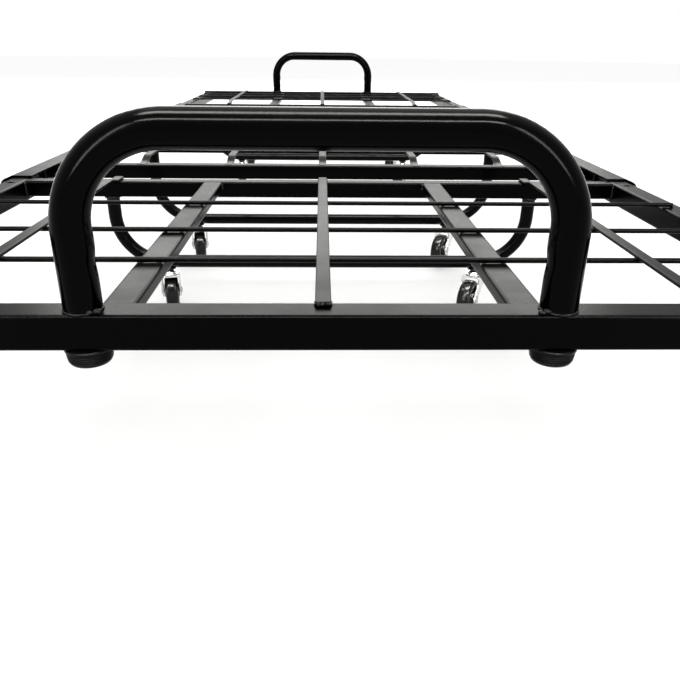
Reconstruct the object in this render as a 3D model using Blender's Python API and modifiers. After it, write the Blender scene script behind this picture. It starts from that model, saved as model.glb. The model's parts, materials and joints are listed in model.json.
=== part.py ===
"""Folding metal bed frame on casters.

The deck is a long centre section between two short end sections, which fold up
about bolts in the centre section's side angles.  Each end section carries a round
hoop that keeps the mattress in place, and a U-shaped leg on two swivel casters; the
centre section stands on two more of these legs.  +Y runs along the bed, +Z is up,
and the origin is on the floor under the middle.  Sizes are in metres.
"""

import math

import bmesh
import bpy
from mathutils import Matrix, Vector

# Overall sizes
LENGTH = 1.973                # between the outer faces of the two end rails
WIDTH = 0.777                 # between the outer faces of the two side angles
DECK_HEIGHT = 0.174           # floor to the tops of the side rails
GAP = 0.0003                  # clearance between pieces that touch

# Lengths along the bed
END_SECTION_LENGTH = 0.441    # outer face of an end rail to the near face of its mid rail
SECTION_SPACING = 0.119       # mid rail to the cross rail of the centre section
BEARER_SETBACK = 0.105        # cross rail to the flat bearer over a centre leg

# Square and rectangular tube
RAIL_SIZE = 0.024             # end rails and side rails
MID_RAIL_SIZE = 0.019         # mid rails and cross rails
INNER_RAIL_WIDTH = 0.0225
INNER_RAIL_HEIGHT = 0.011
INNER_RAIL_OFFSET = 0.1345    # middle of the bed to an inner rail's middle
TUBE_WALL = 0.0015
TUBE_CORNER = 0.002
SIGHT_HOLE_DIAMETER = 0.008   # hole in a side rail's top, beside its mid rail
SIGHT_HOLE_SETBACK = 0.010

# Side angles and hinge bolts
ANGLE_SIZE = 0.028
ANGLE_WALL = 0.0025
ANGLE_BEND = 0.0045           # outer radius of the bend between web and flange
PIVOT_SETBACK = -0.004        # mid rail's middle back to the hinge bolt
FOLD_CLEARANCE = 0.0025       # turning rail to the tip of the angle's top flange
LAP = 0.025                   # length of side rail that bears under the flange
BOLT_DIAMETER = 0.0074
BOLT_HOLE_DIAMETER = 0.0084
BOLT_HEAD_DIAMETER = 0.013
BOLT_HEAD_HEIGHT = 0.004
BOLT_COLLAR_DIAMETER = 0.011
BOLT_COLLAR_LENGTH = 0.003

# Deck of wires and strips
WIRE_DIAMETER = 0.0045
STRIP_WIDTH = 0.0105
STRIP_THICKNESS = 0.003
WELD_SINK = 0.0004            # how far a strip is pressed into the wires it crosses
WIRE_END_INSET = 0.012        # outer face of a side rail to the end of a wire
END_WIRE_SETBACKS = (0.1195, 0.2095, 0.317)   # end rail's outer face to each wire's middle
CENTRE_WIRES = 7              # evenly spaced in the centre section
STRIP_OFFSET = 0.252          # middle of the bed to an outer strip
CENTRE_STRIP_OFFSETS = (0.0, 0.131, STRIP_OFFSET)
END_STRIP_OFFSETS = (0.0, STRIP_OFFSET)
STRIP_RAMP = 0.014            # length over which a strip bends down to its rail
STRIP_END_INSET = 0.002       # far face of a mid or cross rail to the end of the strip on it
STRIP_LAP = 0.008             # length of strip on an end rail
BEARER_WIDTH = 0.018

# Hoops and their caps
HOOP_TUBE = 0.024
HOOP_WALL = 0.0015
HOOP_SPACING = 0.300          # between the middles of the two legs
HOOP_RISE = 0.1210            # end rail's top to the top of the hoop
HOOP_BEND = 0.060             # bend radius on the tube's middle line
CAP_TOP_DIAMETER = 0.0308
CAP_BOTTOM_DIAMETER = 0.029
CAP_HEIGHT = 0.0115
CAP_ROUND = 0.002

# U-shaped legs
LEG_TUBE = 0.016
LEG_WALL = 0.0012
LEG_SPACING = 0.521           # between the middles of the two uprights
LEG_BEND = 0.060

# Casters
CASTER_SPACING = 0.399        # between the swivel axes on one leg
CASTER_HEIGHT = 0.062         # floor to the underside of the leg
CASTER_TRAIL = 0.016          # swivel axis to the wheel's axle
WHEEL_RADIUS = 0.025
WHEEL_WIDTH = 0.017
HUB_RADIUS = 0.009
HUB_WIDTH = 0.0196
WEB_WIDTH = 0.010
TREAD_ROUND = 0.003
RIM_RADIUS = 0.019
AXLE_DIAMETER = 0.006
AXLE_BORE_DIAMETER = 0.0068
RIVET_HEAD_DIAMETER = 0.010
RIVET_HEAD_HEIGHT = 0.0015
FORK_PLATE = 0.002
FORK_SIDE_GAP = 0.0006        # wheel hub to a fork cheek
CROWN_HEIGHT = 0.0535         # floor to the top of the fork
CROWN_LENGTH = 0.024
CHEEK_TIP_RADIUS = 0.008
CHEEK_SHOULDER = 0.008        # depth of the cheek's full-width top
RACE_DIAMETER = 0.023
RACE_HEIGHT = 0.004
STEM_DIAMETER = 0.011
SWIVEL_AT_REST = {"left": math.radians(12.0), "right": math.radians(150.0)}

# Roundness of the modelled surfaces
WHEEL_SIDES = 16
TURNED_SIDES = 12
WIRE_SIDES = 8
BEND_STEPS = 7

# Places worked out from the sizes above, on the +Y half of the bed
RAIL_OUTER_X = WIDTH / 2 - ANGLE_WALL - GAP
RAIL_MIDDLE_X = RAIL_OUTER_X - RAIL_SIZE / 2
RAIL_INNER_X = RAIL_OUTER_X - RAIL_SIZE
ANGLE_INNER_X = WIDTH / 2 - ANGLE_WALL
END_RAIL_Y = LENGTH / 2 - RAIL_SIZE / 2
END_RAIL_INNER_Y = LENGTH / 2 - RAIL_SIZE
MID_RAIL_Y = LENGTH / 2 - END_SECTION_LENGTH - MID_RAIL_SIZE / 2
CROSS_RAIL_Y = MID_RAIL_Y - SECTION_SPACING
BEARER_Y = CROSS_RAIL_Y - BEARER_SETBACK
PIVOT_Y = MID_RAIL_Y - PIVOT_SETBACK
PIVOT_Z = DECK_HEIGHT - RAIL_SIZE / 2
FLANGE_TIP_Y = PIVOT_Y - RAIL_SIZE / 2 - FOLD_CLEARANCE
RAIL_TAIL_Y = FLANGE_TIP_Y - LAP
END_RAIL_TOP = DECK_HEIGHT + WIRE_DIAMETER - WELD_SINK
END_RAIL_BOTTOM = END_RAIL_TOP - RAIL_SIZE
FLANGE_TOP = DECK_HEIGHT + GAP + ANGLE_WALL
AXLE_HEIGHT = WHEEL_RADIUS * math.cos(math.pi / WHEEL_SIDES)

ENDS = {"foot": -1, "head": 1}
HANDS = {"left": -1, "right": 1}


# ---------------------------------------------------------------- scene and finishes

def clear_scene():
    """Remove every object that the file starts with."""
    for old in list(bpy.data.objects):
        bpy.data.objects.remove(old, do_unlink=True)


def make_collection(name):
    """Add a collection to the scene."""
    collection = bpy.data.collections.new(name)
    bpy.context.scene.collection.children.link(collection)
    return collection


def make_finish(name, colour, roughness, metallic=0.0):
    """Make a plain Principled material."""
    finish = bpy.data.materials.new(name)
    finish.use_nodes = True
    shader = finish.node_tree.nodes["Principled BSDF"]
    shader.inputs["Base Color"].default_value = (*colour, 1.0)
    shader.inputs["Roughness"].default_value = roughness
    shader.inputs["Metallic"].default_value = metallic
    return finish


clear_scene()
PARTS = make_collection("metal_bed_frame")
CUTTERS = make_collection("cutters")
RAIL_COAT = make_finish("rail_coat", (0.012, 0.012, 0.013), 0.32)
HOOP_COAT = make_finish("hoop_coat", (0.010, 0.010, 0.011), 0.24)
DECK_COAT = make_finish("deck_coat", (0.014, 0.014, 0.015), 0.36)
LEG_COAT = make_finish("leg_coat", (0.012, 0.012, 0.013), 0.30)
CAP_PLASTIC = make_finish("cap_plastic", (0.008, 0.008, 0.008), 0.45)
ZINC_PLATE = make_finish("zinc_plate", (0.55, 0.56, 0.58), 0.28, 1.0)
WHEEL_PLASTIC = make_finish("wheel_plastic", (0.010, 0.010, 0.011), 0.30)


# ---------------------------------------------------------------- building blocks

def add_object(name, data, finish=None, collection=None):
    """Put mesh or curve data in the scene, as a part unless a collection is given."""
    item = bpy.data.objects.new(name, data)
    (collection or PARTS).objects.link(item)
    if finish:
        data.materials.append(finish)
    return item


def mark_cutter(item):
    """Hide a solid that only shapes other solids."""
    item.hide_render = True
    item.display_type = "WIRE"
    return item


def bake(item, finish=None):
    """Replace an object by a plain mesh object of its evaluated, welded shape."""
    bpy.context.view_layer.update()
    name = item.name
    placed = item.matrix_world.copy()
    collection = item.users_collection[0]
    evaluated = item.evaluated_get(bpy.context.evaluated_depsgraph_get())
    mesh = bpy.data.meshes.new_from_object(evaluated)
    cleaned = bmesh.new()
    cleaned.from_mesh(mesh)
    bmesh.ops.remove_doubles(cleaned, verts=cleaned.verts, dist=0.00001)
    cleaned.to_mesh(mesh)
    cleaned.free()
    bpy.data.objects.remove(item, do_unlink=True)
    solid = add_object(name, mesh, collection=collection)
    solid.matrix_world = placed
    if finish:
        mesh.materials.clear()
        mesh.materials.append(finish)
    return solid


def join_boolean(item, operation, tool):
    """Cut, join or intersect an object with a hidden tool solid."""
    modifier = item.modifiers.new(tool.name, "BOOLEAN")
    modifier.operation = operation
    modifier.solver = "EXACT"
    modifier.object = mark_cutter(tool)


def rounded_rectangle(width, height, radius=0.0, steps=2):
    """Points of a rectangle about the origin, with rounded corners if a radius is given."""
    if not radius:
        x, y = width / 2, height / 2
        return [(x, -y), (x, y), (-x, y), (-x, -y)]
    points = []
    corners = ((1, -1, -90), (1, 1, 0), (-1, 1, 90), (-1, -1, 180))
    for sign_x, sign_y, start in corners:
        middle = (sign_x * (width / 2 - radius), sign_y * (height / 2 - radius))
        points += arc(middle, radius, start, start + 90, steps)
    return points


def arc(middle, radius, start, end, steps):
    """Points along an arc given in degrees, both ends included."""
    points = []
    for step in range(steps + 1):
        angle = math.radians(start + (end - start) * step / steps)
        points.append((middle[0] + radius * math.cos(angle), middle[1] + radius * math.sin(angle)))
    return points


def outline_solid(name, outlines, thickness, finish=None, collection=None):
    """A flat filled outline, with holes if more outlines follow, thickened along local Z."""
    curve = bpy.data.curves.new(name, "CURVE")
    curve.dimensions = "2D"
    curve.fill_mode = "BOTH"
    curve.extrude = thickness / 2
    for outline in outlines:
        spline = curve.splines.new("POLY")
        spline.points.add(len(outline) - 1)
        for point, (x, y) in zip(spline.points, outline):
            point.co = (x, y, 0.0, 1.0)
        spline.use_cyclic_u = True
    return add_object(name, curve, finish, collection)


ACROSS = (math.pi / 2, 0.0, math.pi / 2)   # local X, Y, Z become world Y, Z, X
ALONG = (math.pi / 2, 0.0, 0.0)            # local X, Y, Z become world X, Z, -Y


def square_tube(name, direction, middle, length, width, height, finish=RAIL_COAT):
    """An open-ended tube of rectangular section about a middle point."""
    outer = rounded_rectangle(width, height, TUBE_CORNER)
    inner = rounded_rectangle(width - 2 * TUBE_WALL, height - 2 * TUBE_WALL)
    tube = outline_solid(name, (outer, inner), length, finish)
    tube.rotation_euler = direction
    tube.location = middle
    return tube


def bent_tube(name, path, diameter, wall, sides, finish):
    """An open-ended round tube along a path of points."""
    curve = bpy.data.curves.new(name, "CURVE")
    curve.dimensions = "3D"
    curve.bevel_depth = diameter / 2
    curve.bevel_resolution = (sides - 4) // 2
    curve.use_fill_caps = False
    spline = curve.splines.new("POLY")
    spline.points.add(len(path) - 1)
    for point, place in zip(spline.points, path):
        point.co = (*place, 1.0)
    spline.use_smooth = True
    tube = add_object(name, curve, finish)
    shell = tube.modifiers.new("wall", "SOLIDIFY")
    shell.thickness = wall
    shell.offset = -1.0
    return tube


def u_path(spacing, bend, base, crossbar):
    """Path in the local XZ plane: up or down one leg, round, across and back."""
    way = 1 if crossbar > base else -1
    half = spacing / 2
    level = crossbar - way * bend
    left = arc((-half + bend, level), bend, 180, 180 - way * 90, BEND_STEPS)
    right = arc((half - bend, level), bend, way * 90, 0, BEND_STEPS)
    points = [(-half, base), *left, *right, (half, base)]
    return [(x, 0.0, z) for x, z in points]


def turned_solid(name, profile, sides, finish=None, collection=None, closed=False):
    """A profile of (radius, height) points, top to bottom, turned about local Z."""
    mesh = bpy.data.meshes.new(name)
    outline = bmesh.new()
    corners = [outline.verts.new((radius, 0.0, height)) for radius, height in profile]
    for first, second in zip(corners, corners[1:]):
        outline.edges.new((first, second))
    if closed:
        outline.edges.new((corners[-1], corners[0]))
    outline.to_mesh(mesh)
    outline.free()
    solid = add_object(name, mesh, finish, collection)
    screw = solid.modifiers.new("turn", "SCREW")
    screw.steps = sides
    screw.render_steps = sides
    screw.use_merge_vertices = True
    screw.merge_threshold = 0.00001
    screw.use_smooth_shade = True
    return solid


def box_solid(name, low, high, collection=None):
    """A box between two opposite corners."""
    mesh = bpy.data.meshes.new(name)
    low, high = Vector(low), Vector(high)
    cube = bmesh.new()
    bmesh.ops.create_cube(cube, size=1.0)
    bmesh.ops.scale(cube, vec=high - low, verts=cube.verts)
    bmesh.ops.translate(cube, vec=(low + high) / 2, verts=cube.verts)
    cube.to_mesh(mesh)
    cube.free()
    return add_object(name, mesh, collection=collection)


def rod_mesh(shape, diameter, length, middle, sides):
    """Add a capped rod along X to a bmesh."""
    placed = Matrix.Translation(middle) @ Matrix.Rotation(math.pi / 2, 4, "Y")
    bmesh.ops.create_cone(shape, cap_ends=True, segments=sides, radius1=diameter / 2,
                          radius2=diameter / 2, depth=length, matrix=placed)


def rod_tool(name, diameter, length, middle, upright=False):
    """A round cutter along X, or along Z if it is upright."""
    mesh = bpy.data.meshes.new(name)
    shape = bmesh.new()
    rod_mesh(shape, diameter, length, Vector(), TURNED_SIDES)
    shape.to_mesh(mesh)
    shape.free()
    rod = add_object(name, mesh, collection=CUTTERS)
    rod.location = middle
    rod.rotation_euler = (0.0, math.pi / 2, 0.0) if upright else (0.0, 0.0, 0.0)
    return rod


def hinge_at(name, place):
    """An empty on a joint's axis, for the pieces that turn about it."""
    pivot = bpy.data.objects.new(name, None)
    pivot.empty_display_size = 0.03
    pivot.location = place
    PARTS.objects.link(pivot)
    return pivot


def carry(pieces, parent):
    """Parent pieces where they stand."""
    bpy.context.view_layer.update()
    for piece in pieces:
        piece.parent = parent
        piece.matrix_parent_inverse = parent.matrix_world.inverted()


# ---------------------------------------------------------------- deck

def strip_outline(start, end, level, start_level, end_level):
    """Side view of a flat strip that may bend down to a lower level at either end."""
    low = [(start, start_level)]
    if start_level != level:
        foot = start + MID_RAIL_SIZE
        low += [(foot, start_level), (foot + STRIP_RAMP, level)]
    if end_level != level:
        foot = end - MID_RAIL_SIZE
        low += [(foot - STRIP_RAMP, level), (foot, end_level)]
    low.append((end, end_level))
    high = [(y, z + STRIP_THICKNESS) for y, z in reversed(low)]
    return low + high


def strip_tool(name, x, outline):
    """One strip, standing on edge across the bed, as a solid to be joined to the wires."""
    strip = outline_solid(name, (outline,), STRIP_WIDTH, collection=CUTTERS)
    strip.rotation_euler = ACROSS
    strip.location = (x, 0.0, 0.0)
    return bake(strip)


def wire_rows(name, places, level, length):
    """Parallel round wires across the bed, resting on a level."""
    mesh = bpy.data.meshes.new(name)
    shape = bmesh.new()
    for y in places:
        middle = Vector((0.0, y, level + WIRE_DIAMETER / 2))
        rod_mesh(shape, WIRE_DIAMETER, length, middle, WIRE_SIDES)
    shape.to_mesh(mesh)
    shape.free()
    return add_object(name, mesh, DECK_COAT)


def evenly(first, last, count):
    """Places that divide the space between two values into equal parts."""
    return [first + (last - first) * (step + 1) / (count + 1) for step in range(count)]


def end_deck(end):
    """Wires and strips of one end section, welded into one grid."""
    side = ENDS[end]
    level = DECK_HEIGHT + GAP
    places = [side * (LENGTH / 2 - setback) for setback in END_WIRE_SETBACKS]
    grid = wire_rows(f"deck_grid_{end}", places, level, 2 * (RAIL_OUTER_X - WIRE_END_INSET))
    raised = level + WIRE_DIAMETER - WELD_SINK
    near = MID_RAIL_Y - MID_RAIL_SIZE / 2 + STRIP_END_INSET
    far = END_RAIL_INNER_Y + STRIP_LAP
    outline = strip_outline(near, far, raised, level, raised)
    if side < 0:
        outline = [(-y, z) for y, z in reversed(outline)]
    for x in sorted({sign * offset for offset in END_STRIP_OFFSETS for sign in (-1, 1)}):
        join_boolean(grid, "UNION", strip_tool(f"strip_{end}", x, outline))
    return bake(grid, DECK_COAT)


def centre_deck():
    """Wires, strips and the two flat bearers of the centre section, as one grid."""
    level = FLANGE_TOP + GAP
    length = 2 * (RAIL_OUTER_X - WIRE_END_INSET)
    inner_face = CROSS_RAIL_Y - MID_RAIL_SIZE / 2
    places = evenly(-inner_face, inner_face, CENTRE_WIRES)
    places = [y for y in places if abs(abs(y) - BEARER_Y) > BEARER_WIDTH]
    grid = wire_rows("deck_grid_centre", places, level, length)
    raised = level + WIRE_DIAMETER - WELD_SINK
    rail_level = DECK_HEIGHT + GAP
    end = CROSS_RAIL_Y + MID_RAIL_SIZE / 2 - STRIP_END_INSET
    outline = strip_outline(-end, end, raised, rail_level, rail_level)
    for x in sorted({sign * offset for offset in CENTRE_STRIP_OFFSETS for sign in (-1, 1)}):
        join_boolean(grid, "UNION", strip_tool("strip_centre", x, outline))
    for side in (-1, 1):
        middle = side * BEARER_Y
        low = (-length / 2, middle - BEARER_WIDTH / 2, level)
        high = (length / 2, middle + BEARER_WIDTH / 2, level + WIRE_DIAMETER)
        join_boolean(grid, "UNION", box_solid("bearer", low, high, CUTTERS))
    return bake(grid, DECK_COAT)


# ---------------------------------------------------------------- frame

def end_rail(end):
    """The square tube across the end of the bed."""
    middle = (0.0, ENDS[end] * END_RAIL_Y, END_RAIL_TOP - RAIL_SIZE / 2)
    return square_tube(f"end_rail_{end}", ACROSS, middle, 2 * RAIL_OUTER_X, RAIL_SIZE, RAIL_SIZE)


def side_rail(end, hand):
    """A side rail of an end section, drilled for its hinge bolt and its sight hole."""
    side, sign = ENDS[end], HANDS[hand]
    start = RAIL_TAIL_Y
    stop = END_RAIL_INNER_Y - GAP
    middle = (sign * RAIL_MIDDLE_X, side * (start + stop) / 2, DECK_HEIGHT - RAIL_SIZE / 2)
    rail = square_tube(f"side_rail_{end}_{hand}", ALONG, middle, stop - start, RAIL_SIZE, RAIL_SIZE)
    rail = bake(rail)
    outer_wall = (sign * RAIL_OUTER_X, side * PIVOT_Y, PIVOT_Z)
    hole = rod_tool("rail_hole", BOLT_HOLE_DIAMETER, 6 * TUBE_WALL, outer_wall)
    join_boolean(rail, "DIFFERENCE", hole)
    beside_mid_rail = MID_RAIL_Y + MID_RAIL_SIZE / 2 + SIGHT_HOLE_SETBACK
    top_wall = (sign * RAIL_MIDDLE_X, side * beside_mid_rail, DECK_HEIGHT)
    sight = rod_tool("sight_hole", SIGHT_HOLE_DIAMETER, 6 * TUBE_WALL, top_wall, upright=True)
    join_boolean(rail, "DIFFERENCE", sight)
    return rail


def mid_rail(end):
    """The tube across an end section, beside the hinges."""
    middle = (0.0, ENDS[end] * MID_RAIL_Y, DECK_HEIGHT - MID_RAIL_SIZE / 2)
    length = 2 * (RAIL_INNER_X - GAP)
    return square_tube(f"mid_rail_{end}", ACROSS, middle, length, MID_RAIL_SIZE, MID_RAIL_SIZE)


def inner_rail(end, hand):
    """A tube along an end section, between its end rail and its mid rail."""
    start = MID_RAIL_Y + MID_RAIL_SIZE / 2 + GAP
    stop = END_RAIL_INNER_Y - GAP
    x = HANDS[hand] * INNER_RAIL_OFFSET
    middle = (x, ENDS[end] * (start + stop) / 2, DECK_HEIGHT - INNER_RAIL_HEIGHT / 2)
    name = f"inner_rail_{end}_{hand}"
    return square_tube(name, ALONG, middle, stop - start, INNER_RAIL_WIDTH, INNER_RAIL_HEIGHT)


def cross_rail(end):
    """The tube across one end of the centre section, under the flanges of the angles."""
    middle = (0.0, ENDS[end] * CROSS_RAIL_Y, DECK_HEIGHT - MID_RAIL_SIZE / 2)
    length = 2 * (WIDTH / 2 - ANGLE_BEND)
    return square_tube(f"cross_rail_{end}", ACROSS, middle, length, MID_RAIL_SIZE, MID_RAIL_SIZE)


def side_angle(hand):
    """The L-shaped side of the centre section, with an eared end for each hinge bolt."""
    sign = HANDS[hand]
    top, bottom = FLANGE_TOP, FLANGE_TOP - ANGLE_SIZE
    outer, inner = sign * WIDTH / 2, sign * (WIDTH / 2 - ANGLE_SIZE)
    wall = sign * ANGLE_INNER_X
    heart = (sign * (WIDTH / 2 - ANGLE_BEND), top - ANGLE_BEND)
    start = 90 - sign * 90
    outside = arc(heart, ANGLE_BEND, start, 90, BEND_STEPS)
    inside = arc(heart, ANGLE_BEND - ANGLE_WALL, 90, start, BEND_STEPS)
    section = [(outer, bottom), *outside, (inner, top), (inner, top - ANGLE_WALL),
               *inside, (wall, bottom)]
    ear = ANGLE_SIZE / 2
    angle = outline_solid(f"side_angle_{hand}", (section,), 2 * (PIVOT_Y + ear), RAIL_COAT)
    angle.rotation_euler = ALONG
    angle = bake(angle, RAIL_COAT)
    middle_z = (top + bottom) / 2
    silhouette = arc((PIVOT_Y, middle_z), ear, -90, 90, 2 * BEND_STEPS)
    silhouette += arc((-PIVOT_Y, middle_z), ear, 90, 270, 2 * BEND_STEPS)
    ears = outline_solid("ear_outline", (silhouette,), 3 * ANGLE_SIZE, collection=CUTTERS)
    ears.rotation_euler = ACROSS
    ears.location.x = outer
    join_boolean(angle, "INTERSECT", bake(ears))
    for side in (-1, 1):
        tip, past = side * FLANGE_TIP_Y, side * (PIVOT_Y + 2 * ear)
        beside_web = wall - sign * GAP
        corners_x, corners_y = sorted((beside_web, inner - sign * ear)), sorted((tip, past))
        low = (corners_x[0], corners_y[0], bottom - ear)
        high = (corners_x[1], corners_y[1], top + ear)
        join_boolean(angle, "DIFFERENCE", box_solid("flange_notch", low, high, CUTTERS))
        place = (outer, side * PIVOT_Y, PIVOT_Z)
        hole = rod_tool("angle_hole", BOLT_HOLE_DIAMETER, 4 * ANGLE_WALL, place)
        join_boolean(angle, "DIFFERENCE", hole)
    return bake(angle, RAIL_COAT)


def hinge_bolt(end, hand):
    """The pivot through a side angle's ear and a side rail's outer wall, headed both ends."""
    sign = HANDS[hand]
    under_head = GAP
    collar = -(ANGLE_WALL + GAP + TUBE_WALL + GAP)
    head = BOLT_HEAD_DIAMETER / 2
    profile = [(0.0, under_head + BOLT_HEAD_HEIGHT), (0.6 * head, under_head + BOLT_HEAD_HEIGHT),
               (head, under_head + 0.4 * BOLT_HEAD_HEIGHT), (head, under_head),
               (BOLT_DIAMETER / 2, under_head), (BOLT_DIAMETER / 2, collar),
               (BOLT_COLLAR_DIAMETER / 2, collar),
               (BOLT_COLLAR_DIAMETER / 2, collar - BOLT_COLLAR_LENGTH),
               (0.0, collar - BOLT_COLLAR_LENGTH)]
    bolt = turned_solid(f"hinge_bolt_{end}_{hand}", profile, TURNED_SIDES, ZINC_PLATE)
    bolt.rotation_euler = (0.0, sign * math.pi / 2, 0.0)
    bolt.location = (sign * WIDTH / 2, ENDS[end] * PIVOT_Y, PIVOT_Z)
    return bolt


# ---------------------------------------------------------------- hoops, caps and legs

def hoop(end):
    """The round retaining hoop that stands on an end rail."""
    base = END_RAIL_TOP + GAP
    path = u_path(HOOP_SPACING, HOOP_BEND, base, END_RAIL_TOP + HOOP_RISE - HOOP_TUBE / 2)
    tube = bent_tube(f"hoop_{end}", path, HOOP_TUBE, HOOP_WALL, 12, HOOP_COAT)
    tube.location.y = ENDS[end] * END_RAIL_Y
    return tube


def end_cap(end, hand):
    """The ribbed bumper under an end rail, below a leg of the hoop."""
    top, bottom = CAP_TOP_DIAMETER / 2, CAP_BOTTOM_DIAMETER / 2
    profile = [(0.0, 0.0), (top, 0.0), (bottom, CAP_ROUND - CAP_HEIGHT),
               (bottom - CAP_ROUND, -CAP_HEIGHT), (0.0, -CAP_HEIGHT)]
    cap = turned_solid(f"end_cap_{end}_{hand}", profile, TURNED_SIDES, CAP_PLASTIC)
    x = HANDS[hand] * HOOP_SPACING / 2
    cap.location = (x, ENDS[end] * END_RAIL_Y, END_RAIL_BOTTOM - GAP)
    return cap


def u_leg(name, y, top):
    """A U-shaped leg whose two uprights end at a given height."""
    crossbar = CASTER_HEIGHT + GAP + LEG_TUBE / 2
    path = u_path(LEG_SPACING, LEG_BEND, top, crossbar)
    leg = bent_tube(name, path, LEG_TUBE, LEG_WALL, 8, LEG_COAT)
    leg.location.y = y
    return leg


# ---------------------------------------------------------------- casters

def fork_mesh():
    """A pressed fork with its riveted axle, about the swivel axis at axle height."""
    cheek_inner = HUB_WIDTH / 2 + FORK_SIDE_GAP
    cheek_outer = cheek_inner + FORK_PLATE
    crown_top = CROWN_HEIGHT - AXLE_HEIGHT
    half = CROWN_LENGTH / 2
    low = (-cheek_inner - FORK_PLATE / 2, -half, crown_top - FORK_PLATE)
    high = (cheek_inner + FORK_PLATE / 2, half, crown_top)
    fork = box_solid("fork", low, high)
    shoulder = crown_top - CHEEK_SHOULDER
    top = crown_top - FORK_PLATE / 4
    outline = [(half - FORK_PLATE / 4, shoulder), (half - FORK_PLATE / 4, top),
               (FORK_PLATE / 4 - half, top), (FORK_PLATE / 4 - half, shoulder)]
    outline += arc((CASTER_TRAIL, 0.0), CHEEK_TIP_RADIUS, 200, 360, BEND_STEPS)
    for sign in (-1, 1):
        cheek = outline_solid("cheek", (outline,), FORK_PLATE, collection=CUTTERS)
        cheek.rotation_euler = ACROSS
        cheek.location.x = sign * (cheek_inner + cheek_outer) / 2
        join_boolean(fork, "UNION", bake(cheek))
        head = rod_tool("rivet_head", RIVET_HEAD_DIAMETER, 2 * RIVET_HEAD_HEIGHT,
                        (sign * cheek_outer, CASTER_TRAIL, 0.0))
        join_boolean(fork, "UNION", head)
    axle = rod_tool("axle", AXLE_DIAMETER, 2 * cheek_outer, (0.0, CASTER_TRAIL, 0.0))
    join_boolean(fork, "UNION", axle)
    fork = bake(fork, ZINC_PLATE)
    mesh = fork.data
    bpy.data.objects.remove(fork, do_unlink=True)
    return mesh


def wheel_mesh():
    """A wheel with a hub, a thin web and a rounded tread, about its own axis."""
    tread = WHEEL_RADIUS
    half, rim = WHEEL_WIDTH / 2, RIM_RADIUS
    hub, web = HUB_WIDTH / 2, WEB_WIDTH / 2
    outside = [(tread, half - TREAD_ROUND), (tread, TREAD_ROUND - half),
               (tread - TREAD_ROUND, -half), (rim, -half)]
    side = [(HUB_RADIUS, -web), (HUB_RADIUS, -hub), (AXLE_BORE_DIAMETER / 2, -hub)]
    lower = outside[1:] + side
    upper = [(radius, -height) for radius, height in reversed(lower)]
    wheel = turned_solid("wheel", lower + upper, WHEEL_SIDES, WHEEL_PLASTIC, closed=True)
    wheel = bake(wheel)
    mesh = wheel.data
    flat_down = Matrix.Rotation(math.pi / WHEEL_SIDES, 4, "Z")
    mesh.transform(Matrix.Rotation(math.pi / 2, 4, "Y") @ flat_down)
    bpy.data.objects.remove(wheel, do_unlink=True)
    return mesh


def stem_mesh():
    """The fixed upper race and stem of a caster, up to the underside of the leg."""
    race, stem = RACE_DIAMETER / 2, STEM_DIAMETER / 2
    base = CROWN_HEIGHT + GAP
    profile = [(0.0, CASTER_HEIGHT), (stem, CASTER_HEIGHT), (stem, base + RACE_HEIGHT),
               (race, base + 0.6 * RACE_HEIGHT), (race, base), (0.0, base)]
    stem = bake(turned_solid("stem", profile, TURNED_SIDES, ZINC_PLATE))
    mesh = stem.data
    bpy.data.objects.remove(stem, do_unlink=True)
    return mesh


def caster(place, hand, y, meshes, leg):
    """One swivel caster under a leg: fixed stem, turning fork and rolling wheel."""
    x = HANDS[hand] * CASTER_SPACING / 2
    turn = SWIVEL_AT_REST[hand]
    stem = add_object(f"caster_stem_{place}_{hand}", meshes["stem"])
    stem.location = (x, y, 0.0)
    fork = add_object(f"caster_fork_{place}_{hand}", meshes["fork"])
    fork.location = (x, y, AXLE_HEIGHT)
    fork.rotation_euler.z = turn
    wheel = add_object(f"caster_wheel_{place}_{hand}", meshes["wheel"])
    trail = Matrix.Rotation(turn, 3, "Z") @ Vector((0.0, CASTER_TRAIL, 0.0))
    wheel.location = Vector((x, y, AXLE_HEIGHT)) + trail
    wheel.rotation_euler.z = turn
    carry([stem, fork], leg)
    carry([wheel], fork)


# ---------------------------------------------------------------- assembly

def end_section(end, meshes):
    """Everything that folds up at one end of the bed."""
    side = ENDS[end]
    pivot = hinge_at(f"fold_{end}", (0.0, side * PIVOT_Y, PIVOT_Z))
    leg = u_leg(f"leg_{end}", side * MID_RAIL_Y, DECK_HEIGHT - MID_RAIL_SIZE - GAP)
    pieces = [end_rail(end), mid_rail(end), hoop(end), end_deck(end), leg]
    for hand in HANDS:
        pieces += [side_rail(end, hand), inner_rail(end, hand), end_cap(end, hand)]
    carry(pieces, pivot)
    for hand in HANDS:
        caster(end, hand, side * MID_RAIL_Y, meshes, leg)


def centre_section(meshes):
    """The fixed middle of the bed, with its hinge bolts."""
    centre_deck()
    for hand in HANDS:
        side_angle(hand)
        for end in ENDS:
            hinge_bolt(end, hand)
    for end, side in ENDS.items():
        cross_rail(end)
        leg = u_leg(f"leg_centre_{end}", side * BEARER_Y, FLANGE_TOP)
        for hand in HANDS:
            caster(f"centre_{end}", hand, side * BEARER_Y, meshes, leg)


def main():
    meshes = {"fork": fork_mesh(), "wheel": wheel_mesh(), "stem": stem_mesh()}
    centre_section(meshes)
    for end in ENDS:
        end_section(end, meshes)


main()
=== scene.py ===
"""Finished look of the folding metal bed frame.

Every tube, wire, strip, weld, cap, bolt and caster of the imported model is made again
here in fine detail, with its own finish, and rides on the body that carries it.
Sizes are in metres, +Y runs along the bed and the origin is on the floor.
"""

import json
import math
import random

import bmesh
import bpy
from mathutils import Matrix, Vector


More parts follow.
